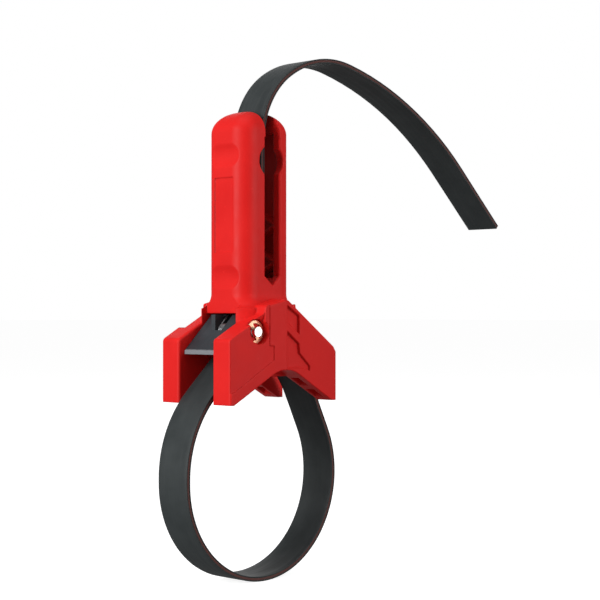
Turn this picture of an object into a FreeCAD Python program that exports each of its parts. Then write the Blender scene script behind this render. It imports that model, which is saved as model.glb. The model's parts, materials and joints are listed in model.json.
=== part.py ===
import FreeCAD, Part
import math
import os
import re
import Sketcher

# Strap wrench for oil filters and pipe: a moulded grip on a V-shaped yoke, a
# flat laminated strap and a sprung cam lever that locks the strap.
# Frame: the origin lies on the axis of the gripped cylinder, +Y runs along
# that axis, +Z up the grip, and -X towards the lever. Units are millimetres.

Vector = FreeCAD.Vector
Y_AXIS = Vector(0, 1, 0)
Z_AXIS = Vector(0, 0, 1)

# ------------------------------------------------------------------ dimensions
# Levels are heights above the cylinder's axis; reaches are distances from it.
DIMENSIONS = {
    # strap
    "strap_width": 27.0, "strap_thick": 3.2, "cover_thick": 0.8, "strap_gap": 0.3,
    "loop_radius": 66.4, "lead_in_radius": 73.0, "lead_in_angle": 44.0,
    "turn_up_radius": 30.0, "strap_face": 3.0,
    "anchor_run": 24.0, "anchor_bend": 73.2, "right_run": 26.0, "left_rise": 3.0,
    "bend_start": 216.0, "tail_bend_one": 58.4, "tail_bend_two": 77.5,
    "tail_bend_three": 258.9, "tail_straight": 60.0,
    # yoke
    "foot_level": 49.0, "left_reach": 47.4, "right_reach": 49.0,
    "left_outer": 32.3, "left_inner": 15.9, "right_outer": 31.3, "right_inner": 18.3,
    "ridge_outer": 33.6, "left_shoulder": 89.6, "right_shoulder": 81.0,
    "step_reach": 17.4, "step_base": 105.8, "step_level": 111.0, "roof_level": 115.0,
    "vee_foot": 44.3, "vee_level": 65.3, "arch_half": 6.55, "arch_level": 70.0,
    "arch_round": 24.0, "edge_round": 1.6,
    "corner_round": 3.0, "panel_step": 0.5, "rib_pocket_floor": 31.3,
    # grip
    "grip_front": 23.4, "grip_back": 21.5, "grip_half": 19.0, "grip_corner": 12.0,
    "grip_base": 105.9, "grip_top": 236.8, "crown_rise": 15.0,
    "crown_fullness": 0.86,
    "neck_top": 118.5, "neck_round": 10.0, "neck_reach": 6.5, "neck_foot": 94.0,
    "slot_front": 4.4, "slot_back": 8.4, "slot_floor": 130.0, "slot_tip": 124.2,
    "finger_level": 204.0, "finger_radius": 10.5, "finger_centre": 1.5,
    "core_half": 13.0, "core_wall": 4.0, "core_corner": 8.0, "core_foot": 127.5,
    "rib_thick": 2.0, "rib_rise": 12.0,
    "dish_hollow": 16.0, "dish_lip": 7.0, "dish_slope": 22.0, "dish_width": 26.0,
    "lower_dish": 129.0, "upper_dish": 207.0, "label_half": 8.5,
    "label_low": 144.9, "label_high": 192.9, "label_depth": 0.5, "slot_bevel": 0.9,
    # cam lever and its pin
    "pin_reach": 22.4, "pin_level": 94.4, "pin_radius": 3.175, "pin_bore": 3.225,
    "hub_radius": 11.2, "lever_half": 15.4, "lip_reach": 42.9, "lip_level": 82.3,
    "lip_thick": 2.3, "lip_round": 0.8, "lever_slope": 0.985,
    "recess_radius": 8.0, "recess_floor": 27.3, "channel_reach": 5.0,
    "far_recess_radius": 11.5, "far_floor": 25.2, "window_low": 4.8, "window_high": 1.1,
    "cheek_reach": 29.6, "cheek_thick": 3.6, "nose_radius": 9.6, "nose_offset": 3.0,
    "tooth_radius": 0.7, "spring_radius": 4.9, "spring_wire": 0.55, "spring_pitch": 1.2,
    "spring_turns": 3.625, "lever_leg": 9.0, "frame_leg": 10.2,
    "clip_radius": 7.1, "clip_inner": 5.5, "clip_thick": 1.0, "groove_radius": 2.5,
    "tooth_width": 2.4, "pin_near": 31.2, "head_radius": 5.6, "head_thick": 2.2,
    # strap anchor
    "plate_thick": 2.5, "plate_length": 14.0, "screw_pitch": 14.0, "screw_radius": 2.0,
    "screw_head": 3.6, "insert_radius": 3.0, "insert_length": 7.0,
}

doc = FreeCAD.newDocument("strap_wrench")
sheet = doc.addObject("Spreadsheet::Sheet", "dims")
for row, (alias, value) in enumerate(DIMENSIONS.items(), start=1):
    sheet.set("A%d" % row, alias)
    sheet.set("B%d" % row, str(value))
    sheet.setAlias("B%d" % row, alias)
doc.recompute()


def size(text):
    """Value of an expression written in the sheet's aliases."""
    return float(sheet.evalExpression(text))


def linked(text):
    """The same expression with its aliases pointing at the sheet."""
    return re.sub(r"[a-z]+(?:_[a-z]+)+", lambda found: "dims." + found.group(0), text)


def bind(item, sizes):
    """Tie properties of an object to expressions in the sheet."""
    for name, text in sizes.items():
        item.setExpression(name, linked(text))
    return item


# ------------------------------------------------------------ modelling helpers
def origin_plane(body, role):
    """One of a body's own three origin planes."""
    return [item for item in body.Origin.OriginFeatures if item.Role == role][0]


def new_sketch(body, role, shift):
    """An empty sketch on an origin plane, moved along the plane's normal."""
    sketch = body.newObject("Sketcher::SketchObject", "outline")
    sketch.AttachmentSupport = [(origin_plane(body, role), "")]
    sketch.MapMode = "FlatFace"
    bind(sketch, {"AttachmentOffset.Base.z": shift})
    return sketch


def draw_corners(sketch, corners):
    """A closed outline through corners, each coordinate bound to the sheet."""
    points = [Vector(size(x), size(y), 0) for x, y in corners]
    count = len(points)
    for index, point in enumerate(points):
        sketch.addGeometry(Part.LineSegment(point, points[(index + 1) % count]))
    for index in range(count):
        following = (index + 1) % count
        sketch.addConstraint(Sketcher.Constraint("Coincident", index, 2, following, 1))
    for index, place in enumerate(corners):
        for kind, text in zip(("DistanceX", "DistanceY"), place):
            rule = Sketcher.Constraint(kind, index, 1, size(text))
            number = sketch.addConstraint(rule)
            bind(sketch, {"Constraints[%d]" % number: text})


def slab(label, corners, start, depth, role="XZ_Plane"):
    """A body padded from an outline; on XZ, start and depth run towards -Y."""
    body = doc.addObject("PartDesign::Body", label)
    sketch = new_sketch(body, role, start)
    draw_corners(sketch, corners)
    pad = body.newObject("PartDesign::Pad", "pad")
    pad.Profile = sketch
    bind(pad, {"Length": depth})
    doc.recompute()
    return body


def through_slab(label, corners, half):
    """A slab centred on the middle plane."""
    return slab(label, corners, "-1 * (%s)" % half, "2 * (%s)" % half)


def round_edges(body, radius, wanted):
    """Fillet the edges of a body that a test picks out."""
    base = body.Tip
    names = []
    for number, edge in enumerate(base.Shape.Edges, start=1):
        if wanted(edge):
            names.append("Edge%d" % number)
    fillet = body.newObject("PartDesign::Fillet", "rounding")
    fillet.Base = (base, names)
    bind(fillet, {"Radius": radius})
    body.Tip = fillet
    doc.recompute()


def middle(edge):
    """The middle point of an edge."""
    return edge.valueAt((edge.FirstParameter + edge.LastParameter) / 2)


def is_along(edge, axis):
    """Whether a straight edge runs along an axis."""
    if edge.Curve.TypeId != "Part::GeomLine":
        return False
    return abs(edge.Curve.Direction.dot(axis)) > 0.999


def rod(label, radius, near, length, reach="-pin_reach", level="pin_level"):
    """A cylinder along Y that starts at near and runs towards +Y."""
    item = doc.addObject("Part::Cylinder", label)
    item.Placement = FreeCAD.Placement(Vector(), FreeCAD.Rotation(Vector(1, 0, 0), -90))
    bind(item, {"Radius": radius, "Height": length})
    places = {"x": reach, "y": near, "z": level}
    return bind(item, {"Placement.Base." + axis: text for axis, text in places.items()})


def block(label, low, high):
    """A box between two opposite corners, given as expressions."""
    item = doc.addObject("Part::Box", label)
    sides = {}
    for name, axis, start, end in zip(("Length", "Width", "Height"), "xyz", low, high):
        sides[name] = "(%s) - (%s)" % (end, start)
        sides["Placement.Base." + axis] = start
    return bind(item, sides)


def mirrored(source, label):
    """The copy of a shape on the other side of the middle plane."""
    item = doc.addObject("Part::Mirroring", label)
    item.Source = source
    item.Base = Vector()
    item.Normal = Y_AXIS
    return item


def fused(label, shapes):
    """One solid joined from several."""
    item = doc.addObject("Part::MultiFuse", label)
    item.Shapes = shapes
    return item


def cut(label, base, tool):
    """A solid with a tool taken out of it."""
    item = doc.addObject("Part::Cut", label)
    item.Base = base
    item.Tool = tool
    return item


def feature(label, shape):
    """A solid whose shape comes from Part's own functions."""
    item = doc.addObject("Part::Feature", label)
    item.Shape = shape
    return item


# ----------------------------------------------------------------- strap route
def heading(degrees):
    """Unit vector in the XZ plane, measured from +X towards +Z."""
    angle = math.radians(degrees)
    return Vector(math.cos(angle), 0, math.sin(angle))


class Route:
    """A chain of straight runs and tangent arcs in the XZ plane."""

    def __init__(self, start, degrees):
        self.point = start
        self.degrees = degrees
        self.steps = []

    def run(self, length):
        """Go straight on."""
        self.steps.append(("run", self.point, self.degrees, length, 0.0))
        self.point = self.point + heading(self.degrees) * length

    def turn(self, radius, degrees):
        """Turn left by positive degrees, right by negative, on an arc."""
        self.steps.append(("turn", self.point, self.degrees, radius, degrees))
        side = 1.0 if degrees > 0 else -1.0
        centre = self.point + heading(self.degrees + 90 * side) * radius
        self.degrees += degrees
        self.point = centre - heading(self.degrees + 90 * side) * radius

    def edges(self, offset):
        """The chain's edges, moved to its left by an offset."""
        result = []
        for kind, start, degrees, amount, angle in self.steps:
            first = start + heading(degrees + 90) * offset
            if kind == "run":
                last = first + heading(degrees) * amount
                result.append(Part.LineSegment(first, last).toShape())
                continue
            side = 1.0 if angle > 0 else -1.0
            centre = start + heading(degrees + 90 * side) * amount
            radius = amount - offset * side
            middle_point = centre - heading(degrees + angle / 2 + 90 * side) * radius
            last = centre - heading(degrees + angle + 90 * side) * radius
            result.append(Part.Arc(first, middle_point, last).toShape())
        return result

    def band(self, left, right, width):
        """A flat band between two offsets, centred on the middle plane."""
        left_edges = self.edges(left)
        right_edges = self.edges(right)
        start_cap = Part.makeLine(right_edges[0].valueAt(right_edges[0].FirstParameter),
                                  left_edges[0].valueAt(left_edges[0].FirstParameter))
        end_cap = Part.makeLine(left_edges[-1].valueAt(left_edges[-1].LastParameter),
                                right_edges[-1].valueAt(right_edges[-1].LastParameter))
        outline = Part.Wire(Part.__sortEdges__(left_edges + right_edges + [start_cap, end_cap]))
        face = Part.Face(outline)
        face.translate(Vector(0, -width / 2, 0))
        return face.extrude(Vector(0, width, 0))

    def length(self):
        """Length of the chain."""
        total = 0.0
        for kind, _, _, amount, angle in self.steps:
            total += amount if kind == "run" else abs(math.radians(angle)) * amount
        return total


def approach(route):
    """The fixed end of the strap, from its clamp down to the loop."""
    route.run(size("anchor_run"))
    route.turn(size("anchor_bend"), -14.0)
    route.run(size("right_run"))


def strap_route():
    """The strap's outer face: clamp, loop, cam, grip and free tail."""
    loop = size("loop_radius")
    clamp_heading = -50.0
    trial = Route(Vector(), clamp_heading)
    approach(trial)
    tangent = heading(trial.degrees + 90) * loop
    route = Route(tangent - trial.point, clamp_heading)
    approach(route)
    route.turn(loop, -270.0 - route.degrees)
    route.run(size("left_rise"))
    lead_in = size("lead_in_angle")
    route.turn(size("lead_in_radius"), lead_in - 90.0)
    turn_up = size("turn_up_radius")
    slope = math.radians(lead_in)
    reach = -size("strap_face") - turn_up * (1 - math.sin(slope))
    route.run((reach - route.point.x) / math.cos(slope))
    route.turn(turn_up, 90.0 - lead_in)
    route.run(size("bend_start") - route.point.z)
    route.turn(size("tail_bend_one"), -55.5)
    route.turn(size("tail_bend_two"), -46.6)
    route.turn(size("tail_bend_three"), -30.6)
    route.run(size("tail_straight"))
    return route


STRAP = strap_route()
CLAMP = STRAP.steps[0][1] + heading(STRAP.steps[0][2]) * size("anchor_run / 2")
CLAMP_TURN = FreeCAD.Rotation(Y_AXIS, -STRAP.steps[0][2])


# ------------------------------------------------------------------ handle body
def lean_outer_face(wall, start, end):
    """Trim a wall's outer face along a line in plan, given by two points."""
    sketch = new_sketch(wall, "XY_Plane", "2 * roof_level")
    draw_corners(sketch, [start, end, (end[0], "-2 * ridge_outer"), (start[0], "-2 * ridge_outer")])
    pocket = wall.newObject("PartDesign::Pocket", "outer_face")
    pocket.Profile = sketch
    bind(pocket, {"Length": "2 * roof_level"})
    wall.Tip = pocket
    doc.recompute()


def round_arch(wall):
    """Round the top of the V under a wall."""
    round_edges(wall, "arch_round",
                lambda edge: is_along(edge, Y_AXIS)
                and abs(abs(middle(edge).x) - size("arch_half")) < 0.1
                and abs(middle(edge).z - size("arch_level")) < 0.1)


def left_wall():
    """The near wall of the lever fork."""
    corners = [("-left_reach", "foot_level"), ("-left_reach", "left_shoulder"),
               ("-step_reach", "step_base"), ("-step_reach", "step_level"),
               ("0", "roof_level"), ("0", "arch_level"),
               ("-arch_half", "arch_level"), ("-vee_foot", "foot_level")]
    wall = slab("left_wall", corners, "left_inner", "ridge_outer - left_inner")
    lean_outer_face(wall, ("-left_reach", "-left_outer"), ("0", "-ridge_outer"))
    rounded = [(-size("left_reach"), size("left_shoulder")),
               (-size("step_reach"), size("step_base")), (-size("step_reach"), size("step_level"))]
    round_edges(wall, "corner_round",
                lambda edge: is_along(edge, Y_AXIS)
                and any(math.hypot(middle(edge).x - x, middle(edge).z - z) < 0.1
                        for x, z in rounded))
    round_edges(wall, "edge_round",
                lambda edge: not is_along(edge, Y_AXIS) and middle(edge).x < -0.5
                and (middle(edge).z > size("arch_level + 1")
                     or middle(edge).x < 1 - size("left_reach")))
    round_arch(wall)
    return wall


def right_wall():
    """The near wall of the open fork."""
    corners = [("0", "arch_level"), ("0", "roof_level"), ("3", "roof_level - 0.8"),
               ("right_reach - 2.5", "right_shoulder + 3.5"), ("right_reach", "right_shoulder"),
               ("right_reach", "foot_level"), ("vee_foot", "foot_level"),
               ("arch_half", "arch_level")]
    wall = slab("right_wall", corners, "right_inner", "ridge_outer - right_inner")
    lean_outer_face(wall, ("0", "-ridge_outer"), ("right_reach", "-right_outer"))
    round_edges(wall, "edge_round",
                lambda edge: not is_along(edge, Y_AXIS) and middle(edge).x > 0.5
                and (middle(edge).z > size("arch_level + 1")
                     or middle(edge).x > size("right_reach") - 1))
    round_arch(wall)
    return wall


def core_block():
    """The block between the walls: anvil on the left, clamp face on the right."""
    face_top = CLAMP - heading(-50) * 12 + heading(-140) * size("strap_thick")
    face_low = face_top + heading(-50) * ((face_top.z - size("vee_level")) / math.sin(math.radians(50)))
    corners = [("-25", "vee_level"), ("-25", "vee_level + 6.6"), ("-11", "grip_base - 20.5"),
               ("-4.3", "grip_base - 11.1"), ("-1.4", "grip_base + 3"),
               ("grip_back + 1.5", "grip_base + 6"), ("grip_back + 3.5", "grip_base - 3"),
               ("%.2f" % (face_top.x - 2), "%.2f" % (face_top.z + 2.4)),
               ("%.2f" % face_top.x, "%.2f" % face_top.z),
               ("%.2f" % face_low.x, "vee_level")]
    return through_slab("core_block", corners, "right_inner + 0.4")


def section(level, spread=0.0, scale=1.0):
    """The grip's rounded rectangular outline, spread outwards or scaled, at a level."""
    centre = size("(grip_back - grip_front) / 2")
    half_x = (size("(grip_back + grip_front) / 2") + spread) * scale
    half_y = (size("grip_half") + spread) * scale
    corner = (size("grip_corner") + spread) * scale
    edges = []
    for turn in range(4):
        turned = FreeCAD.Rotation(Vector(0, 0, 1), 90 * turn)
        reach, side = (half_x, half_y) if turn % 2 == 0 else (half_y, half_x)
        hub = Vector(reach - corner, side - corner, 0)
        bend = [hub + heading_flat(angle) * corner for angle in (0, 45, 90)]
        following = Vector(corner - reach, side, 0)
        points = [turned.multVec(point) + Vector(centre, 0, level)
                  for point in bend + [following]]
        edges.append(Part.Arc(*points[:3]).toShape())
        edges.append(Part.makeLine(points[2], points[3]))
    return Part.Wire(edges)


def heading_flat(degrees):
    """Unit vector in the XY plane, measured from +X towards +Y."""
    angle = math.radians(degrees)
    return Vector(math.cos(angle), math.sin(angle), 0)


def grip():
    """The grip's shaft under a domed crown."""
    rise = size("crown_rise")
    shoulder = size("grip_top") - rise
    base = Part.Face(section(size("grip_base")))
    shaft = base.extrude(Vector(0, 0, shoulder - size("grip_base")))
    slopes = [math.radians(angle) for angle in (0, 8, 20, 34, 48, 62, 74, 84)]
    fullness = size("crown_fullness")
    outlines = [section(shoulder + rise * math.sin(slope), 0.0, math.cos(slope) ** fullness)
                for slope in slopes]
    crown = Part.makeLoft(outlines, True, False)
    return feature("grip", shaft.fuse(crown))


def neck():
    """The flare that carries the grip down onto both walls."""
    radius = size("neck_round")
    last = math.acos(1 - size("neck_reach") / radius)
    outlines = []
    for step in range(6):
        slope = last * step / 5
        outlines.append(section(size("neck_top") - radius * math.sin(slope),
                                radius * (1 - math.cos(slope))))
    flare = Part.makeLoft(outlines, True, False)
    hem = Part.Face(outlines[-1])
    skirt = hem.extrude(Vector(0, 0, size("neck_foot") - outlines[-1].CenterOfMass.z))
    front = block("front_room", ("-left_reach", "-left_inner", "neck_foot - 1"),
                  ("-grip_front", "left_inner", "neck_top + 1"))
    side = block("side_room", ("-grip_front - 1", "-left_inner", "neck_foot - 1"),
                 ("0", "left_inner", "grip_base"))
    behind = block("behind_room", ("0", "-right_inner", "neck_foot - 1"),
                   ("grip_back + neck_reach + 1", "right_inner", "grip_base"))
    return cut("neck", feature("neck_blank", flare.fuse(skirt)),
               fused("neck_rooms", [front, side, behind]))


def slot_corners(spread):
    """The slot's outline, spread outwards."""
    edge = " + %s * slot_bevel" % spread
    return [("-slot_front" + edge.replace("+", "-"), "grip_top - crown_rise - 3 * slot_bevel"),
            ("-slot_front" + edge.replace("+", "-"), "slot_floor"),
            ("(slot_back - slot_front) / 2 + 0.5", "slot_tip" + edge.replace("+", "-")),
            ("slot_back" + edge, "slot_floor"),
            ("slot_back" + edge, "grip_top - crown_rise - 3 * slot_bevel")]


def outline_at(corners, reach):
    """A closed wire through XZ corners at one distance from the middle plane."""
    points = [Vector(size(x), reach, size(z)) for x, z in corners]
    return Part.makePolygon(points + points[:1])


def edge_bevels():
    """Bevels round the slot and the finger hole on the near side."""
    face = -size("grip_half")
    bevel = size("slot_bevel")
    slot = Part.makeLoft([outline_at(slot_corners(1.2), face - 0.2 * bevel),
                          outline_at(slot_corners(0), face + bevel)], True, True)
    radius = size("finger_radius")
    centre = Vector(size("finger_centre"), face - 0.2 * bevel, size("finger_level"))
    hole = Part.makeCone(radius + 1.2 * bevel, radius, 1.2 * bevel, centre, Y_AXIS)
    return feature("edge_bevels", slot.fuse(hole))


def slot_tools():
    """The strap's slot, its finger hole and the moulded cores behind it."""
    outline = slot_corners(0)
    outline[0] = ("-slot_front", "grip_top + 5")
    outline[-1] = ("slot_back", "grip_top + 5")
    slot = through_slab("slot", outline, "grip_half + 2")
    finger = rod("finger_hole", "finger_radius", "-grip_half - 2", "2 * grip_half + 4",
                 "finger_centre", "finger_level")
    passage = block("passage", ("-slot_front", "-left_inner", "grip_base - 1"),
                    ("1", "left_inner", "slot_floor + 1"))
    rear = rear_core()
    front = block("front_core", ("core_wall - grip_front", "-core_half", "slot_floor + 3"),
                  ("1 - slot_front", "core_half", "finger_level - 15"))
    bevels = edge_bevels()
    return [slot, finger, passage, rear, front, bevels, mirrored(bevels, "far_edge_bevels")]


def rear_core():
    """The cored room behind the slot, rounded at the back like the grip."""
    room = slab("rear_core", [("slot_back - 1", "-core_half"), ("slot_back - 1", "core_half"),
                              ("grip_back - core_wall", "core_half"),
                              ("grip_back - core_wall", "-core_half")],
                "core_foot", "grip_top - 14 - core_foot", "XY_Plane")
    back = size("grip_back - core_wall") - 0.1
    round_edges(room, "core_corner",
                lambda edge: is_along(edge, Z_AXIS) and middle(edge).x > back)
    return room


def strap_passage():
    """The clearance that the strap's route needs in the block."""
    gap = size("strap_gap")
    thick = size("strap_thick")
    return feature("strap_passage", STRAP.band(gap, -thick - gap, size("2 * left_inner")))


def rear_ribs():
    """Zigzag ribs across the rear core, in the plane of its opening."""
    levels = [size("core_foot") + step * size("rib_rise") for step in range(5)]
    side = size("core_half")
    ribs = []
    for number, level in enumerate(levels[:-1]):
        lean = 1 if number % 2 else -1
        low = Vector(0, -side * lean, level)
        span = Vector(0, 2 * side * lean, size("rib_rise"))
        across = span.cross(Vector(1, 0, 0)).normalize() * size("rib_thick / 2")
        outline = [low - across, low + across, low + span + across, low + span - across]
        outline.append(outline[0])
        rib = Part.Face(Part.makePolygon(outline))
        rib.translate(Vector(size("slot_back + 1.5"), 0, 0))
        ribs.append(rib.extrude(Vector(size("grip_back - slot_back - core_wall"), 0, 0)))
    trimmed = ribs[0].multiFuse(ribs[1:])
    room = Part.makeBox(size("grip_back - slot_back"), 2 * side + 1, levels[-1] - levels[0],
                        Vector(size("slot_back"), -side - 0.5, levels[0]))
    return feature("rear_ribs", trimmed.common(room))


def pin_tools():
    """The pin's bore, the clip's pocket on the near side and the head's on the far."""
    bore = rod("pin_hole", "pin_bore", "-2 * ridge_outer", "4 * ridge_outer")
    seat = rod("clip_pocket", "recess_radius", "-2 * ridge_outer",
               "2 * ridge_outer - recess_floor")
    slope = [("-2 * ridge_outer", "pin_level"), ("-recess_floor", "pin_level"),
             ("-ridge_outer", "step_level"), ("-ridge_outer", "2 * roof_level"),
             ("-2 * ridge_outer", "2 * roof_level")]
    channel = slab("clip_channel", slope, "-pin_reach - recess_radius",
                   "recess_radius + channel_reach", "YZ_Plane")
    far_seat = rod("head_pocket", "far_recess_radius", "far_floor", "ridge_outer")
    far_channel = block("head_channel",
                        ("-pin_reach - far_recess_radius", "far_floor", "pin_level"),
                        ("far_recess_radius - pin_reach", "2 * ridge_outer", "2 * roof_level"))
    return [bore, seat, channel, far_seat, far_channel]


def wall_pockets():
    """Shallow pockets in the outer faces of both arms."""
    upper = [("0.8", "111.3"), ("12.4", "104.5"), ("12.4", "92.5"), ("0.8", "100.7")]
    lower = [("0.8", "94.9"), ("12.2", "86.7"), ("13", "80.5"), ("22.5", "72"),
             ("22.5", "69"), ("14", "71"), ("0.8", "71")]
    tools = []
    for label, corners in (("upper_pocket", upper), ("lower_pocket", lower)):
        near = slab(label, corners, "rib_pocket_floor", "ridge_outer")
        tools += [near, mirrored(near, label + "_far")]
    panel = side_panel()
    return tools + [panel, mirrored(panel, "side_panel_far")]


def side_panel():
    """The shallow panel in the near arm's outer face, laid along its lean."""
    lean = math.atan(size("(ridge_outer - left_outer) / left_reach"))
    corner = Vector(-size("left_reach"), size("panel_step - left_outer"), 0)
    points = [(-1, "foot_level + 7"), (4.4, "foot_level + 8.6"), (37, "76.5"), (37, "85.5"),
              (33.4, "85.5"), (33.4, "roof_level"), (-1, "roof_level")]
    outline = Part.makePolygon([corner + Vector(x, 0, size(z)) for x, z in points]
                               + [corner + Vector(points[0][0], 0, size(points[0][1]))])
    plate = Part.Face(outline).extrude(Vector(0, -5, 0))
    plate.rotate(corner, Vector(0, 0, 1), -math.degrees(lean))
    return feature("side_panel", plate)


def foot_cores():
    """Cored pockets that open through the V's faces."""
    tools = []
    for number, (centre, level) in enumerate(((21.5, 70), (35.5, 61))):
        for side, label in ((1, "right"), (-1, "left")):
            low = ("%s - 4.6" % (side * centre), "-right_outer + 3.6", "foot_level - 1")
            high = ("%s + 4.6" % (side * centre), "-right_inner - 2", "%s" % level)
            near = block("%s_core_%d" % (label, number + 1), low, high)
            tools += [near, mirrored(near, "%s_core_far_%d" % (label, number + 1))]
    return tools


def insert_holes():
    """Seats for the two threaded inserts behind the strap's clamp."""
    holes = []
    for side in (-1, 1):
        hole = doc.addObject("Part::Cylinder", "insert_hole")
        bind(hole, {"Radius": "insert_radius", "Height": "insert_length + 2"})
        shift = Vector(0, side * size("screw_pitch / 2"), -size("strap_thick + insert_length"))
        hole.Placement = FreeCAD.Placement(CLAMP + CLAMP_TURN.multVec(shift), CLAMP_TURN)
        holes.append(hole)
    return holes


def label_recess():
    """The plain recessed panel on the front of the grip."""
    return block("label_recess", ("-grip_front - 1", "-label_half", "label_low"),
                 ("label_depth - grip_front", "label_half", "label_high"))


def dish_arc(middle_point, radius, start, end):
    """An arc in the XZ plane round a point, its angles measured from +X towards +Z."""
    turns = [math.radians(angle) for angle in (start, (start + end) / 2, end)]
    points = [middle_point + Vector(math.cos(turn), 0, math.sin(turn)) * radius
              for turn in turns]
    return Part.Arc(*points).toShape(), points[0], points[2]


def thumb_dish(level):
    """A thumb rest scooped across the front, its lips rounded over."""
    hollow = size("dish_hollow")
    lip = size("dish_lip")
    slope = size("dish_slope")
    turn = math.radians(slope)
    face = -size("grip_front") - 0.05
    reach = (hollow + lip) * math.cos(turn) - lip
    bowl, low, high = dish_arc(Vector(face - reach, 0, level), hollow, -slope, slope)
    rise = (hollow + lip) * math.sin(turn)
    above, _, top = dish_arc(Vector(face + lip, 0, level + rise), lip, 180 + slope, 184)
    below, _, foot = dish_arc(Vector(face + lip, 0, level - rise), lip, 180 - slope, 176)
    outer = Vector(-4, 0, 0)
    sides = [bowl, above, Part.makeLine(top, top + outer),
             Part.makeLine(top + outer, foot + outer), Part.makeLine(foot + outer, foot), below]
    profile = Part.Face(Part.Wire(Part.__sortEdges__(sides)))
    profile.translate(Vector(0, -size("dish_width / 2"), 0))
    return profile.extrude(Vector(0, size("dish_width"), 0))


def thumb_dishes():
    """The two dished thumb rests on the front of the grip."""
    return [feature(label, thumb_dish(size(label))) for label in ("lower_dish", "upper_dish")]


def handle_body():
    """The moulding: grip, yoke, anvil and clamp block in one piece."""
    near_left = left_wall()
    near_right = right_wall()
    solids = [near_left, mirrored(near_left, "left_wall_far"),
              near_right, mirrored(near_right, "right_wall_far"),
              core_block(), grip(), neck()]
    blank = fused("moulding", solids)
    clearance = rod("lever_room", "hub_radius + 0.5", "-left_inner", "2 * left_inner")
    tools = slot_tools() + pin_tools() + wall_pockets() + foot_cores() + insert_holes()
    tools += thumb_dishes() + [strap_passage(), label_recess(), clearance]
    hollowed = cut("hollowed", blank, fused("cores", tools))
    return fused("handle_body", [hollowed, rear_ribs()])


# ------------------------------------------------------------------ cam lever
def cam_lever():
    """The lever: thumb plate, hub, cheek, toothed cam nose and spring window."""
    hub = rod("lever_hub", "hub_radius", "-lever_half", "2 * lever_half")
    nose = rod("cam_nose", "nose_radius", "-lever_half", "2 * lever_half",
               "nose_offset * cos(35) - pin_reach", "pin_level - nose_offset * sin(35)")
    plate = through_slab("thumb_plate",
                         [("-lip_reach", "lip_level"),
                          ("-pin_reach", "lip_level + (lip_reach - pin_reach) * lever_slope"),
                          ("-pin_reach", "pin_level - 9"), ("-31", "pin_level - 6.5"),
                          ("-lip_reach", "lip_level - lip_thick")], "lever_half")
    lip = Vector(-size("lip_reach"), 0, size("lip_level"))
    round_edges(plate, "lip_round", lambda edge: is_along(edge, Y_AXIS)
                and (middle(edge) - lip).Length < 0.2)
    above = through_slab("above_slope",
                         [("-lip_reach - 8", "lip_level - 8 * lever_slope"),
                          ("-lip_reach + 28", "lip_level + 28 * lever_slope"),
                          ("-lip_reach - 8", "lip_level + 28 * lever_slope")], "lever_half + 1")
    blank = cut("lever_slope", fused("lever_blank", [hub, nose, plate]), above)
    cheek = block("lever_cheek", ("-cheek_reach", "window_high", "pin_level"),
                  ("-pin_reach", "window_high + cheek_thick", "grip_base - 0.7"))
    bore = rod("lever_bore", "pin_bore", "-lever_half - 1", "2 * lever_half + 2")
    well = rod("spring_well", "hub_radius - 4.4", "-window_low", "window_low + window_high")
    window = block("spring_window", ("-cheek_reach - 2", "-window_low", "pin_level + 0.95"),
                   ("spring_radius + spring_wire + 0.25 - pin_reach", "window_high",
                    "pin_level + hub_radius + 1"))
    tools = [bore, well, window]
    for number in range(7):
        angle = math.radians(-80 + 11 * number)
        reach = size("nose_radius + 0.25")
        tooth = rod("tooth_gap", "tooth_radius", "-lever_half - 1", "2 * lever_half + 2",
                    "%.4f + nose_offset * cos(35) - pin_reach" % (reach * math.cos(angle)),
                    "%.4f + pin_level - nose_offset * sin(35)" % (reach * math.sin(angle)))
        tools.append(tooth)
    return cut("cam_lever", fused("lever_body", [blank, cheek]), fused("lever_tools", tools))


def cam_pivot_pin():
    """The headed pin, with a groove for its clip at the near end."""
    shank = rod("pin_shank", "pin_radius", "-pin_near", "pin_near + far_floor + 1")
    head = rod("pin_head", "head_radius", "far_floor + 0.05", "head_thick")
    blank = fused("pin_blank", [shank, head])
    ring = rod("groove_ring", "pin_radius + 1", "-recess_floor - clip_thick - 0.1",
               "clip_thick + 0.1")
    core = rod("groove_core", "groove_radius", "-recess_floor - clip_thick - 1",
               "clip_thick + 2")
    return cut("cam_pivot_pin", blank, cut("pin_groove_tool", ring, core))


def turned_block(low, high, degrees):
    """A box turned about the pin's axis, in the pin's own plane."""
    box = Part.makeBox(*(high - low), low)
    box.rotate(Vector(), Y_AXIS, -degrees)
    return box


def pivot_clip():
    """The open retaining clip: a thin ring with three teeth in the pin's groove."""
    thick = size("clip_thick")
    base = Vector()
    ring = Part.makeCylinder(size("clip_radius"), thick, base, Y_AXIS)
    ring = ring.cut(Part.makeCylinder(size("clip_inner"), thick, base, Y_AXIS))
    mouth = Part.makeBox(size("clip_radius") + 1, thick, 8.4, Vector(0, 0, -4.2))
    mouth.rotate(Vector(), Y_AXIS, -211)
    solid = ring.cut(mouth)
    half = size("tooth_width / 2")
    for degrees in (31, 126, 296):
        tooth = turned_block(Vector(0, 0, -half), Vector(size("clip_inner") + 0.5, thick, half),
                             degrees)
        solid = solid.fuse(tooth)
    solid = solid.cut(Part.makeCylinder(size("groove_radius + 0.05"), thick, base, Y_AXIS))
    clip = feature("pivot_clip", solid.removeSplitter())
    places = {"x": "-pin_reach", "y": "-recess_floor - clip_thick - 0.05", "z": "pin_level"}
    return bind(clip, {"Placement.Base." + axis: text for axis, text in places.items()})


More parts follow.
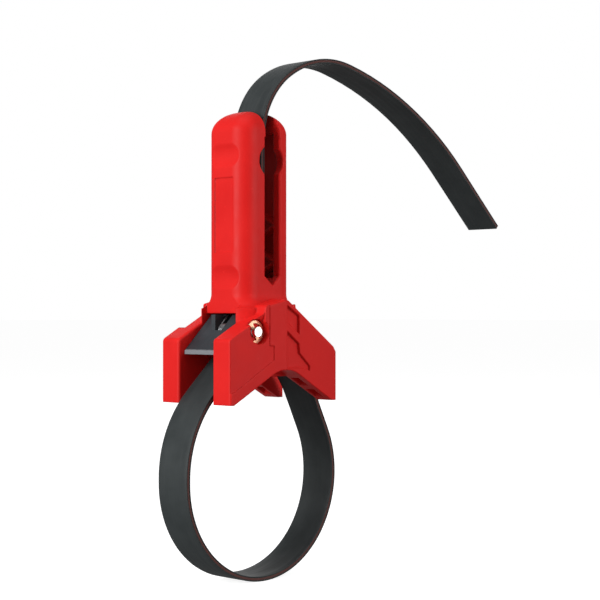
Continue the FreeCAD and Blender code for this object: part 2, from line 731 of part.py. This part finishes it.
def cam_spring():
    """The torsion spring round the pin, inside the lever's window."""
    turns = size("spring_turns")
    radius = size("spring_radius")
    wire = size("spring_wire")
    pitch = size("spring_pitch")
    helix = Part.makeHelix(pitch, pitch * turns, radius)
    round_wire = Part.Wire(Part.makeCircle(wire, Vector(radius, 0, 0), Y_AXIS))
    coil = Part.Wire(helix.Edges).makePipeShell([round_wire], True, True)
    low_leg = Part.makeCylinder(wire, size("lever_leg"), Vector(radius, 0, 0), Vector(0, -1, 0))
    end = math.radians(360 * turns)
    end_at = Vector(radius * math.cos(end), radius * math.sin(end), pitch * turns)
    high_leg = Part.makeCylinder(wire, size("frame_leg"), end_at,
                                 Vector(-math.sin(end), math.cos(end), 0))
    solid = coil.fuse([low_leg, high_leg])
    spring = feature("cam_spring", solid.removeSplitter())
    start = size("-window_low + spring_wire + 0.22")
    place = Vector(-size("pin_reach"), start, size("pin_level"))
    turned = FreeCAD.Rotation(Vector(1, 0, 0), -90)
    spring.Placement = FreeCAD.Placement(place, turned)
    return spring


# ---------------------------------------------------------------------- strap
def at_clamp(item, shift):
    """Set an object down in the clamp's own frame."""
    item.Placement = FreeCAD.Placement(CLAMP + CLAMP_TURN.multVec(shift), CLAMP_TURN)
    return item


def clamp_rods(label, radius, low, length):
    """Two rods through the clamp, square to the strap."""
    rods = []
    for side in (-1, 1):
        item = doc.addObject("Part::Cylinder", label)
        bind(item, {"Radius": radius, "Height": length})
        rods.append(at_clamp(item, Vector(0, side * size("screw_pitch / 2"), size(low))))
    return rods


def strap_layer(label, outer, inner):
    """One layer of the laminated strap, drilled for the clamp screws."""
    layer = feature(label + "_blank", STRAP.band(-size(outer), -size(inner), size("strap_width")))
    holes = fused(label + "_holes", clamp_rods(label + "_hole", "screw_radius + 0.2", "-5", "10"))
    return cut(label, layer, holes)


def anchor_plate():
    """The steel plate that clamps the fixed end of the strap."""
    plate = doc.addObject("Part::Box", "plate_blank")
    bind(plate, {"Length": "plate_length", "Width": "strap_width", "Height": "plate_thick"})
    at_clamp(plate, Vector(-size("plate_length / 2"), -size("strap_width / 2"), 0))
    holes = fused("plate_holes", clamp_rods("plate_hole", "screw_radius + 0.2", "-1", "6"))
    return cut("anchor_plate", plate, holes)


def anchor_screws():
    """The two pan-head screws through the plate."""
    shanks = clamp_rods("screw_shank", "screw_radius", "-strap_thick - insert_length + 0.5",
                        "strap_thick + insert_length + plate_thick")
    heads = clamp_rods("screw_head_disc", "screw_head", "plate_thick", "2")
    sockets = clamp_rods("screw_socket", "screw_radius - 0.5", "plate_thick + 0.8", "2")
    return cut("anchor_screws", fused("screw_blanks", shanks + heads), fused("sockets", sockets))


def anchor_inserts():
    """The two brass inserts moulded into the block."""
    tubes = clamp_rods("insert_tube", "insert_radius", "-strap_thick - insert_length",
                       "insert_length")
    bores = clamp_rods("insert_bore", "screw_radius + 0.03", "-strap_thick - insert_length - 1",
                       "insert_length + 2")
    return cut("anchor_inserts", fused("insert_blanks", tubes), fused("insert_bores", bores))


# ------------------------------------------------------------------- assembly
PARTS = [
    handle_body(),
    cam_lever(),
    cam_pivot_pin(),
    pivot_clip(),
    cam_spring(),
    strap_layer("strap_outer_cover", "0", "cover_thick"),
    strap_layer("strap_core", "cover_thick", "strap_thick - cover_thick"),
    strap_layer("strap_inner_cover", "strap_thick - cover_thick", "strap_thick"),
    anchor_plate(),
    anchor_screws(),
    anchor_inserts(),
]


def check_and_export():
    """Stop on any failed object, then write each sub-part to its own file."""
    doc.recompute()
    failed = [item.Label for item in doc.Objects
              if "Invalid" in item.State or "Error" in item.State]
    if failed:
        raise RuntimeError("failed objects: " + ", ".join(failed))
    for item in PARTS:
        if item.Shape.isNull() or not item.Shape.isValid():
            raise RuntimeError("bad shape: " + item.Label)
    for item in PARTS:
        item.Shape.exportStep("parts/%s.step" % item.Label)
        print("%-20s solids %d  volume %9.1f mm3" % (item.Label, len(item.Shape.Solids),
                                                     item.Shape.Volume))
    print("strap length %.0f mm" % STRAP.length())


check_and_export()
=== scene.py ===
import json
import math
import bmesh
import bpy
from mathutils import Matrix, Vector


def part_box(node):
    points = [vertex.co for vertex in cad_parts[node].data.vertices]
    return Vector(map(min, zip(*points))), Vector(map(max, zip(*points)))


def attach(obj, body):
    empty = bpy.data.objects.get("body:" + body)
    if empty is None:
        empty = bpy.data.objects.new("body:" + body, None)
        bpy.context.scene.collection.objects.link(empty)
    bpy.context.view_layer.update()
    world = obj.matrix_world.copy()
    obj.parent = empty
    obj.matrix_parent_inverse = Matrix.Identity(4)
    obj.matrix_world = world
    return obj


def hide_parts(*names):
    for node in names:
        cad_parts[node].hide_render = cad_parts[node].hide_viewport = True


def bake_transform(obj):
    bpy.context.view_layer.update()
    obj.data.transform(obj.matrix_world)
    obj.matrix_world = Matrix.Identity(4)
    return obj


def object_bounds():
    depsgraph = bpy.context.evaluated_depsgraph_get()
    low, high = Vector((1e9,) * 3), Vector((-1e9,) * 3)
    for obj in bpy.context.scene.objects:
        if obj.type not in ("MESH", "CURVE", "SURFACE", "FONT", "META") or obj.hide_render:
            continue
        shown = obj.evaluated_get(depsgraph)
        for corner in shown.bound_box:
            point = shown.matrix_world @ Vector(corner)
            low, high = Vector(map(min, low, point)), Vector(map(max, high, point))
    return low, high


# Looks for the strap wrench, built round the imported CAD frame. Blender's lengths are
# metres, and the strap and the spring are worked out in millimetres.
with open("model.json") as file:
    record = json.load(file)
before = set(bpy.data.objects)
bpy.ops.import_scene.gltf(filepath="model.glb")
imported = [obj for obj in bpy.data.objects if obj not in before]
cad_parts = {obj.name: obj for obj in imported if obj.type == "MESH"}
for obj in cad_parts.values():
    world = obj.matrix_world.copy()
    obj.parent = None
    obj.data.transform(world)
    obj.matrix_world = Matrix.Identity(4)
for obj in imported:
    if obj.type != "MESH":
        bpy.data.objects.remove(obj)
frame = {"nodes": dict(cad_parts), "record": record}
cad_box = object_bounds()
scene = bpy.context.scene
scene.view_settings.view_transform = "Standard"

MM = 0.001
LIP_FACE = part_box("cam_lever")[0][0]
PIN_AT = (-22.4 * MM, 94.4 * MM)
WHITE = (1.0, 1.0, 1.0, 1.0)
SHARP_FROM = math.radians(38)


# ---------------------------------------------------------------- camera
CAMERA_AT = Vector((-0.6908, -0.7245, 0.1063))
CAMERA_AZIMUTH = math.radians(44.5)
CAMERA_RISE = math.radians(0.48)
CAMERA_LENS = 92.2


def add_camera():
    """The camera, level with the object and turned to its front left."""
    data = bpy.data.cameras.new("camera")
    data.lens = CAMERA_LENS
    data.sensor_width = 36.0
    data.clip_start = 0.01
    data.clip_end = 100.0
    camera = bpy.data.objects.new("camera", data)
    scene.collection.objects.link(camera)
    aim = Vector((math.cos(CAMERA_AZIMUTH) * math.cos(CAMERA_RISE),
                  math.sin(CAMERA_AZIMUTH) * math.cos(CAMERA_RISE),
                  math.sin(CAMERA_RISE)))
    camera.location = CAMERA_AT
    camera.rotation_euler = aim.to_track_quat("-Z", "Y").to_euler()
    scene.camera = camera


# ---------------------------------------------------------------- materials
class Surface:
    """A material with its shader, and short ways to add texture nodes to it."""

    def __init__(self, name, **values):
        self.material = bpy.data.materials.new(name)
        self.material.use_nodes = True
        self.nodes = self.material.node_tree.nodes
        self.links = self.material.node_tree.links
        self.shader = self.nodes["Principled BSDF"]
        for socket, value in values.items():
            self.shader.inputs[socket.replace("_", " ")].default_value = value
        self.where = self.nodes.new("ShaderNodeTexCoord")

    def link(self, source, target):
        """Join two sockets."""
        self.links.new(source, target)

    def mapped(self, output="Object", scale=(1, 1, 1), location=(0, 0, 0)):
        """Texture coordinates, scaled and moved."""
        node = self.nodes.new("ShaderNodeMapping")
        node.inputs["Scale"].default_value = scale
        node.inputs["Location"].default_value = location
        self.link(self.where.outputs[output], node.inputs["Vector"])
        return node.outputs["Vector"]

    def noise(self, scale, detail=3.0, vector=None, distortion=0.0):
        """Noise with about scale features to the metre."""
        node = self.nodes.new("ShaderNodeTexNoise")
        node.inputs["Scale"].default_value = scale
        node.inputs["Detail"].default_value = detail
        node.inputs["Distortion"].default_value = distortion
        self.link(vector or self.where.outputs["Object"], node.inputs["Vector"])
        return node.outputs["Fac"]

    def cells(self, scale, vector=None):
        """Distance to the nearest of scattered points."""
        node = self.nodes.new("ShaderNodeTexVoronoi")
        node.inputs["Scale"].default_value = scale
        self.link(vector or self.where.outputs["Object"], node.inputs["Vector"])
        return node.outputs["Distance"]

    def wave(self, scale, vector, direction="X", kind="BANDS", distortion=0.0):
        """Smooth bands or rings."""
        node = self.nodes.new("ShaderNodeTexWave")
        node.wave_type = kind
        if kind == "BANDS":
            node.bands_direction = direction
        else:
            node.rings_direction = direction
        node.inputs["Scale"].default_value = scale
        node.inputs["Distortion"].default_value = distortion
        node.inputs["Detail Scale"].default_value = 2.0
        self.link(vector, node.inputs["Vector"])
        return node.outputs["Fac"]

    def spread(self, value, low, high, start=0.3, end=0.7):
        """A value's middle range stretched to run from low to high."""
        node = self.nodes.new("ShaderNodeMapRange")
        node.inputs["From Min"].default_value = start
        node.inputs["From Max"].default_value = end
        node.inputs["To Min"].default_value = low
        node.inputs["To Max"].default_value = high
        self.link(value, node.inputs["Value"])
        return node.outputs["Result"]

    def maths(self, operation, first, second):
        """One sum of two values, each a socket or a number."""
        node = self.nodes.new("ShaderNodeMath")
        node.operation = operation
        for socket, value in zip(node.inputs, (first, second)):
            if isinstance(value, (int, float)):
                socket.default_value = value
            else:
                self.link(value, socket)
        return node.outputs["Value"]

    def colours(self, value, stops):
        """A colour ramp along a value."""
        node = self.nodes.new("ShaderNodeValToRGB")
        ramp = node.color_ramp
        while len(ramp.elements) < len(stops):
            ramp.elements.new(0.5)
        for element, (place, colour) in zip(ramp.elements, stops):
            element.position = place
            element.color = colour + (1.0,)
        self.link(value, node.inputs["Fac"])
        return node.outputs["Color"]

    def mixed(self, share, first, second):
        """Two colours mixed by a share."""
        node = self.nodes.new("ShaderNodeMix")
        node.data_type = "RGBA"
        self.link(share, node.inputs[0])
        for index, value in ((6, first), (7, second)):
            if isinstance(value, tuple):
                node.inputs[index].default_value = value + (1.0,)
            else:
                self.link(value, node.inputs[index])
        return node.outputs[2]

    def set(self, socket, source):
        """Drive one of the shader's sockets."""
        self.link(source, self.shader.inputs[socket])

    def soft_edges(self, radius):
        """Normals that turn smoothly over edges, as a moulded or worn edge does."""
        node = self.nodes.new("ShaderNodeBevel")
        node.samples = 8
        node.inputs["Radius"].default_value = radius
        return node.outputs["Normal"]

    def bump(self, layers, normal=None):
        """Raise the surface by height layers, each (height, strength, depth)."""
        for height, strength, depth in layers:
            node = self.nodes.new("ShaderNodeBump")
            node.inputs["Strength"].default_value = strength
            node.inputs["Distance"].default_value = depth
            self.link(height, node.inputs["Height"])
            if normal is not None:
                self.link(normal, node.inputs["Normal"])
            normal = node.outputs["Normal"]
        self.set("Normal", normal)


def red_moulding():
    """Satin red polymer with a fine moulded grain and faint flow shading."""
    surface = Surface("red_moulding", IOR=1.5, Specular_IOR_Level=0.16)
    flow = surface.noise(22.0, 4.0, distortion=0.6)
    tone = surface.colours(flow, [(0.3, (0.62, 0.009, 0.008)), (0.7, (0.72, 0.013, 0.011))])
    specks = surface.spread(surface.noise(420.0, 2.0), 0.0, 0.5, 0.66, 0.78)
    surface.set("Base Color", surface.mixed(specks, tone, (0.76, 0.022, 0.019)))
    gloss = surface.maths("ADD", surface.spread(flow, 0.40, 0.50),
                          surface.spread(surface.noise(160.0, 3.0), 0.0, 0.08))
    surface.set("Roughness", gloss)
    surface.bump([(surface.noise(26.0, 1.0), 0.25, 0.4 * MM),
                  (surface.noise(700.0, 2.0), 0.35, 0.06 * MM),
                  (surface.noise(1900.0, 2.0), 0.35, 0.03 * MM)],
                 surface.soft_edges(1.3 * MM))
    return surface.material


def grey_casting():
    """Dark grey painted casting with an orange-peel skin, and a painted highlight: a lighter band
    along its lip's front face.
    """
    surface = Surface("grey_casting", IOR=1.48, Specular_IOR_Level=0.32)
    cloud = surface.noise(90.0, 5.0, distortion=0.4)
    paint = surface.colours(cloud, [(0.3, (0.022, 0.026, 0.031)), (0.7, (0.036, 0.041, 0.047))])
    split = surface.nodes.new("ShaderNodeSeparateXYZ")
    surface.link(surface.where.outputs["Object"], split.inputs["Vector"])
    ragged = surface.maths("MULTIPLY", surface.noise(500.0, 4.0), 0.9 * MM)
    edge = surface.maths("ADD", split.outputs["X"], ragged)
    # Painted highlight: the lip's front face is painted a lighter grey where light would catch
    # its rounded edge.
    lip_highlight = surface.spread(edge, 1.0, 0.0, LIP_FACE + 0.7 * MM, LIP_FACE + 1.5 * MM)
    surface.set("Base Color", surface.mixed(lip_highlight, paint, (0.19, 0.20, 0.215)))
    surface.set("Roughness", surface.spread(surface.noise(260.0, 3.0), 0.42, 0.58))
    surface.bump([(surface.noise(420.0, 3.0), 0.35, 0.12 * MM),
                  (surface.cells(1300.0), 0.20, 0.05 * MM)], surface.soft_edges(0.35 * MM))
    return surface.material


def strap_rubber():
    """Dark rubber with the imprint of the press cloth and long faint scuffs."""
    surface = Surface("strap_rubber", IOR=1.5, Specular_IOR_Level=0.3)
    flat = surface.where.outputs["UV"]
    warp = surface.wave(330.0, flat, "X")
    weft = surface.wave(330.0, flat, "Y")
    cloth = surface.maths("MAXIMUM", warp, weft)
    streaks = surface.noise(60.0, 4.0, surface.mapped("UV", (0.25, 6.0, 1.0)))
    blotch = surface.noise(55.0, 5.0)
    tone = surface.colours(blotch, [(0.3, (0.020, 0.025, 0.026)), (0.7, (0.032, 0.038, 0.039))])
    scuff = surface.spread(streaks, 0.0, 0.35, 0.55, 0.8)
    surface.set("Base Color", surface.mixed(scuff, tone, (0.055, 0.060, 0.060)))
    surface.set("Roughness", surface.spread(streaks, 0.50, 0.66))
    surface.bump([(blotch, 0.25, 0.25 * MM), (cloth, 0.22, 0.05 * MM),
                  (surface.noise(2600.0, 2.0), 0.25, 0.03 * MM)])
    return surface.material


def strap_fabric():
    """Brown woven core, seen along the strap's edges."""
    surface = Surface("strap_fabric", Roughness=0.9, Sheen_Weight=0.25)
    flat = surface.where.outputs["UV"]
    threads = surface.wave(360.0, flat, "X", distortion=0.6)
    plies = surface.noise(900.0, 3.0)
    tone = surface.colours(threads, [(0.2, (0.055, 0.014, 0.011)), (0.8, (0.155, 0.042, 0.032))])
    surface.set("Base Color", surface.mixed(surface.spread(plies, 0.0, 0.5), tone,
                                            (0.075, 0.030, 0.026)))
    surface.bump([(threads, 0.6, 0.15 * MM), (plies, 0.5, 0.10 * MM)])
    return surface.material


def metal(name, dark, light, rough, turned_at=None):
    """Bare or plated metal, with turning rings round an axis along Y if one is given."""
    surface = Surface(name, Metallic=1.0)
    cloud = surface.noise(300.0, 4.0)
    surface.set("Base Color", surface.colours(cloud, [(0.3, dark), (0.7, light)]))
    surface.set("Roughness", surface.spread(surface.noise(900.0, 3.0), rough, rough + 0.12))
    layers = [(surface.noise(1800.0, 2.0), 0.15, 0.02 * MM)]
    if turned_at is not None:
        shifted = surface.mapped("Object", (1, 1, 1), (-turned_at[0], 0, -turned_at[1]))
        layers.append((surface.wave(900.0, shifted, "Y", "RINGS", 0.4), 0.25, 0.02 * MM))
    surface.bump(layers)
    return surface.material


def stage_paint():
    """Pale matt floor that glows a little, as a lit studio sweep does."""
    surface = Surface("stage_paint", Roughness=0.9)
    surface.shader.inputs["Specular IOR Level"].default_value = 0.0
    surface.shader.inputs["Base Color"].default_value = (0.55, 0.55, 0.55, 1.0)
    surface.shader.inputs["Emission Color"].default_value = WHITE
    surface.shader.inputs["Emission Strength"].default_value = 0.84
    return surface.material


# ---------------------------------------------------------------- strap
STRAP_WIDTH = 27.0
LAYERS = {
    "strap_outer_cover": (0.0, 0.8),
    "strap_core": (0.8, 2.4),
    "strap_inner_cover": (2.4, 3.2),
}
EDGE_ROOM = 0.12
CORE_INSET = 0.15
CORNER_SHARE = 0.3
CORNER_PULL = 0.3
FLAT_STEPS = 8
WANDER = 0.07
SLOW_WANDER = 31.0
QUICK_WANDER = 13.7
QUICK_SHARE = 0.6
QUICK_PHASE = 1.0
# The route, in millimetres and degrees; turns to the left are positive.
CLAMP_HEADING = -50.0
ANCHOR_RUN = 24.0
ANCHOR_BEND = 73.2
ANCHOR_TURN = -14.0
RIGHT_RUN = 26.0
LOOP_RADIUS = 66.4
LOOP_END = -270.0
LEFT_RISE = 3.0
SLOPE = 44.0
LEAD_IN_RADIUS = 73.0
LEAD_IN_TURN = SLOPE - 90.0
STRAP_FACE = 3.0
TURN_UP_RADIUS = 30.0
TURN_UP = 90.0 - SLOPE
BEND_START = 216.0
TAIL_BENDS = ((58.4, -55.5), (77.5, -46.6), (258.9, -30.6))
TAIL_STRAIGHT = 60.0


def heading(degrees):
    """Unit vector in the XZ plane, measured from +X towards +Z."""
    angle = math.radians(degrees)
    return Vector((math.cos(angle), 0.0, math.sin(angle)))


class Route:
    """A chain of straight runs and tangent arcs, as points with headings."""

    def __init__(self, start, degrees):
        self.point = start
        self.degrees = degrees
        self.stations = [(start.copy(), degrees)]

    def run(self, length, pitch=4.0):
        """Go straight on."""
        count = max(1, round(length / pitch))
        for step in range(1, count + 1):
            place = self.point + heading(self.degrees) * (length * step / count)
            self.stations.append((place, self.degrees))
        self.point = self.point + heading(self.degrees) * length

    def turn(self, radius, degrees, pitch=2.5):
        """Turn left by positive degrees, right by negative."""
        side = 1.0 if degrees > 0 else -1.0
        centre = self.point + heading(self.degrees + 90 * side) * radius
        count = max(2, math.ceil(abs(degrees) / pitch))
        for step in range(1, count + 1):
            now = self.degrees + degrees * step / count
            self.stations.append((centre - heading(now + 90 * side) * radius, now))
        self.degrees += degrees
        self.point = centre - heading(self.degrees + 90 * side) * radius


def to_loop(route):
    """From the clamp plate to the start of the loop."""
    route.run(ANCHOR_RUN)
    route.turn(ANCHOR_BEND, ANCHOR_TURN)
    route.run(RIGHT_RUN)
    return route


def strap_stations():
    """The strap's outer face from its clamp to its free end, in millimetres."""
    trial = to_loop(Route(Vector(), CLAMP_HEADING))
    start = heading(trial.degrees + 90) * LOOP_RADIUS - trial.point
    route = to_loop(Route(start, CLAMP_HEADING))
    route.turn(LOOP_RADIUS, LOOP_END - route.degrees)
    route.run(LEFT_RISE)
    route.turn(LEAD_IN_RADIUS, LEAD_IN_TURN)
    slope = math.radians(SLOPE)
    reach = -STRAP_FACE - TURN_UP_RADIUS * (1 - math.sin(slope))
    route.run((reach - route.point.x) / math.cos(slope))
    route.turn(TURN_UP_RADIUS, TURN_UP)
    route.run(BEND_START - route.point.z)
    for radius, degrees in TAIL_BENDS:
        route.turn(radius, degrees)
    route.run(TAIL_STRAIGHT)
    return route.stations


def corner_bend(depth, across, inward, inner):
    """Three points round a corner, from the strap's side to its flat face."""
    return [(depth + inward, across),
            (depth + inward * CORNER_PULL, across + inner * CORNER_PULL),
            (depth, across + inner)]


def layer_section(low, high, half):
    """A layer's cross-section with rounded corners, as (depth, across) pairs in mm."""
    corner = CORNER_SHARE * (high - low)
    width = 2 * half - 2 * corner
    low_run = [(low, -half + corner + width * step / FLAT_STEPS)
               for step in range(1, FLAT_STEPS)]
    high_run = [(high, half - corner - width * step / FLAT_STEPS)
                for step in range(1, FLAT_STEPS)]
    return (corner_bend(low, -half, corner, corner) + low_run
            + corner_bend(low, half, corner, -corner)[::-1]
            + corner_bend(high, half, -corner, -corner) + high_run
            + corner_bend(high, -half, -corner, corner)[::-1])


def drift_at(travelled):
    """How far the strap's edges stray from straight, at a distance along it."""
    slow = math.sin(travelled / SLOW_WANDER)
    quick = math.sin(travelled / QUICK_WANDER + QUICK_PHASE)
    return WANDER * (slow + QUICK_SHARE * quick)


def ring_faces(rings, count):
    """Faces that join rings of points into a closed tube."""
    faces = []
    for ring in range(rings - 1):
        for step in range(count):
            following = (step + 1) % count
            faces.append((ring * count + step, ring * count + following,
                          (ring + 1) * count + following, (ring + 1) * count + step))
    faces.append(tuple(reversed(range(count))))
    last = (rings - 1) * count
    faces.append(tuple(range(last, last + count)))
    return faces


def strap_layer(name, low, high, half):
    """One layer of the strap, swept along the route, with its length laid out in UV."""
    section = layer_section(low, high, half)
    stations = strap_stations()
    verts, uvs, travelled = [], [], 0.0
    for index, (place, degrees) in enumerate(stations):
        if index:
            travelled += (place - stations[index - 1][0]).length
        side = heading(degrees - 90)
        drift = drift_at(travelled)
        for depth, across in section:
            swell = across + drift * (1 if across > 0 else -1)
            spot = place + side * depth + Vector((0.0, swell, 0.0))
            verts.append(spot * MM)
            uvs.append((travelled * MM, across * MM))
    faces = ring_faces(len(stations), len(section))
    return add_piece(name, verts, faces, uvs, "frame")


# ---------------------------------------------------------------- pieces
def add_piece(name, verts, faces, uvs, body):
    """A smooth-shaded mesh piece, riding on a body if one is given."""
    mesh = bpy.data.meshes.new(name)
    mesh.from_pydata([tuple(v) for v in verts], [], faces)
    if uvs:
        layer = mesh.uv_layers.new(name="UVMap")
        for loop in mesh.loops:
            layer.data[loop.index].uv = uvs[loop.vertex_index]
    mesh.validate()
    mesh.update()
    piece = bpy.data.objects.new(name, mesh)
    scene.collection.objects.link(piece)
    correct_facing(mesh)
    mesh.shade_smooth()
    mesh.set_sharp_from_angle(angle=SHARP_FROM)
    if body:
        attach(piece, body)
    return piece


def correct_facing(mesh):
    """Turn every face of a closed mesh outwards."""
    work = bmesh.new()
    work.from_mesh(mesh)
    bmesh.ops.recalc_face_normals(work, faces=work.faces)
    work.to_mesh(mesh)
    work.free()


# ---------------------------------------------------------------- spring
SPRING_RADIUS = 4.9
SPRING_WIRE = 0.55
SPRING_PITCH = 1.2
SPRING_TURNS = 3.625
SPRING_START = Vector((-22.4, -4.03, 94.4))
LEVER_LEG = 9.0
FRAME_LEG = 10.2
LEG_STEPS = 6
TURN_STEPS = 40
TUBE_SIDES = 12
END_SHARE = 0.7


def spring_path():
    """The spring's centre line: down the lever's leg, round the coil, up the frame's leg."""
    points = [SPRING_START + Vector((SPRING_RADIUS, 0.0, LEVER_LEG * (1 - step / LEG_STEPS)))
              for step in range(LEG_STEPS)]
    count = round(SPRING_TURNS * TURN_STEPS)
    for step in range(count + 1):
        turn = 2 * math.pi * SPRING_TURNS * step / count
        along = SPRING_PITCH * turn / (2 * math.pi)
        points.append(SPRING_START + Vector((SPRING_RADIUS * math.cos(turn), along,
                                             -SPRING_RADIUS * math.sin(turn))))
    last_turn = 2 * math.pi * SPRING_TURNS
    way = Vector((-math.sin(last_turn), 0.0, -math.cos(last_turn)))
    coil_end = points[-1]
    points += [coil_end + way * (FRAME_LEG * step / LEG_STEPS)
               for step in range(1, LEG_STEPS + 1)]
    return points


def tube(points, radius):
    """Rings of points along a path, with the path's ends rounded off."""
    verts = []
    side = (points[1] - points[0]).orthogonal()
    for index, point in enumerate(points):
        before = points[max(index - 1, 0)]
        after = points[min(index + 1, len(points) - 1)]
        way = (after - before).normalized()
        side = (side - way * side.dot(way)).normalized()
        across = way.cross(side)
        width = radius * (END_SHARE if index in (0, len(points) - 1) else 1.0)
        for step in range(TUBE_SIDES):
            turn = 2 * math.pi * step / TUBE_SIDES
            verts.append((point + (side * math.cos(turn) + across * math.sin(turn)) * width) * MM)
    return verts, ring_faces(len(points), TUBE_SIDES)


# ---------------------------------------------------------------- looks of the pieces
add_camera()
LOOKS = {
    "red_moulding": red_moulding(),
    "grey_casting": grey_casting(),
    "strap_rubber": strap_rubber(),
    "strap_fabric": strap_fabric(),
    "pin_steel": metal("pin_steel", (0.72, 0.72, 0.73), (0.92, 0.92, 0.93), 0.16, PIN_AT),
    "yellow_zinc": metal("yellow_zinc", (0.62, 0.33, 0.20), (0.85, 0.56, 0.38), 0.22),
    "spring_steel": metal("spring_steel", (0.18, 0.18, 0.19), (0.32, 0.32, 0.33), 0.32),
    "plate_steel": metal("plate_steel", (0.45, 0.45, 0.46), (0.62, 0.62, 0.63), 0.28),
    "brass_insert": metal("brass_insert", (0.60, 0.42, 0.16), (0.78, 0.58, 0.28), 0.25),
}
SLOTS = {part["node"]: part["material_slot"] for part in frame["record"]["subparts"]}


def dress_nodes():
    """Each CAD mesh in its own slot's material."""
    for name, node in frame["nodes"].items():
        node.data.materials.clear()
        node.data.materials.append(LOOKS[SLOTS[name]])


def add_strap():
    """The three layers of the strap, in place of their CAD solids."""
    for name, (low, high) in LAYERS.items():
        inset = CORE_INSET if name == "strap_core" else 0.0
        layer = strap_layer(name.replace("strap_", "strap_band_"), low, high,
                            STRAP_WIDTH / 2 - EDGE_ROOM - inset)
        layer.data.materials.append(LOOKS[SLOTS[name]])
        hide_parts(name)


def add_spring():
    """The spring as a wire along its centre line, one leg by the lever and the other by the body,
    in place of its CAD solid.
    """
    spring = add_piece("torsion_spring", *tube(spring_path(), SPRING_WIRE), None, None)
    spring.data.materials.append(LOOKS["spring_steel"])
    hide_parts("cam_spring")
    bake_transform(spring)


dress_nodes()
add_strap()
add_spring()


# ---------------------------------------------------------------- stage
FLOOR_REACH = 30.0
AMBIENT = 0.26
AIM = (0, 0, 0.08)
# Name, place, target, width, height, power.
LIGHTS = (
    ("key", (-1.7, 0.15, 0.5), AIM, 0.7, 1.3, 33.0),
    ("top", (-0.3, -0.1, 1.5), AIM, 1.0, 1.0, 4.5),
    ("fill", (0.5, -1.6, 0.5), AIM, 0.6, 1.2, 12.5),
    ("glint", (1.0, -1.2, 0.18), (0, 0, 0.09), 0.3, 0.5, 1.2),
    ("back", (1.3, 1.3, 0.7), AIM, 1.4, 1.4, 6.5),
)


def add_floor():
    """A wide floor at the object's lowest point."""
    low = cad_box[0][2]
    corners = [(-FLOOR_REACH, -FLOOR_REACH, low), (FLOOR_REACH, -FLOOR_REACH, low),
               (FLOOR_REACH, FLOOR_REACH, low), (-FLOOR_REACH, FLOOR_REACH, low)]
    mesh = bpy.data.meshes.new("floor")
    mesh.from_pydata(corners, [], [(0, 1, 2, 3)])
    floor = bpy.data.objects.new("floor", mesh)
    scene.collection.objects.link(floor)
    mesh.materials.append(stage_paint())
    floor.visible_diffuse = False
    floor.visible_glossy = False


def add_softbox(name, place, target, width, height, power):
    """A rectangular area light aimed at a point."""
    data = bpy.data.lights.new(name, "AREA")
    data.shape = "RECTANGLE"
    data.size = width
    data.size_y = height
    data.energy = power
    lamp = bpy.data.objects.new(name, data)
    lamp.location = place
    aim = Vector(target) - Vector(place)
    lamp.rotation_euler = aim.to_track_quat("-Z", "Y").to_euler()
    scene.collection.objects.link(lamp)


def add_world():
    """White seen by the camera, and a dimmer white for the light it gives."""
    world = bpy.data.worlds.new("world")
    scene.world = world
    world.use_nodes = True
    tree = world.node_tree
    light = tree.nodes["Background"]
    light.inputs["Color"].default_value = WHITE
    light.inputs["Strength"].default_value = AMBIENT
    seen = tree.nodes.new("ShaderNodeBackground")
    seen.inputs["Color"].default_value = WHITE
    seen.inputs["Strength"].default_value = 1.0
    path = tree.nodes.new("ShaderNodeLightPath")
    mix = tree.nodes.new("ShaderNodeMixShader")
    tree.links.new(path.outputs["Is Camera Ray"], mix.inputs["Fac"])
    tree.links.new(light.outputs["Background"], mix.inputs[1])
    tree.links.new(seen.outputs["Background"], mix.inputs[2])
    tree.links.new(mix.outputs["Shader"], tree.nodes["World Output"].inputs["Surface"])


add_floor()
add_world()
for light in LIGHTS:
    add_softbox(*light)
